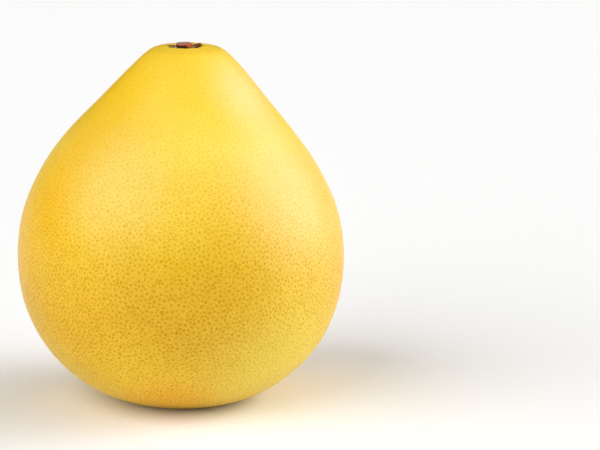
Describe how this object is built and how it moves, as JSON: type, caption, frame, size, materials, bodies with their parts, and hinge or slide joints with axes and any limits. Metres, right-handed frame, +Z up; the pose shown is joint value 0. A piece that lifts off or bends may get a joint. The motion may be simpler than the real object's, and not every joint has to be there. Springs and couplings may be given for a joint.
{
  "type": "pomelo",
  "caption": "Whole pear-shaped pomelo standing on its flattened base, with a dried lobed calyx and a cut woody stem stub in the basin at the top.",
  "frame": {"origin": "on the resting surface, under the middle of the fruit's outline seen from above", "axes": "+Z up, from the resting spot to the stem end; the stem end leans a few millimetres towards +X; -Y is the side that the picture shows"},
  "size_m": [0.15, 0.15, 0.1652],
  "materials": {
    "rind": "waxy yellow citrus rind, satin, pitted with oil glands",
    "calyx": "dried brown plant tissue, matt",
    "stem_wood": "cut reddish-brown stalk, matt and fibrous"
  },
  "bodies": {
    "root": {"fruit": "rind", "calyx": "calyx", "stem_stub": "stem_wood"}
  },
  "joints": []
}
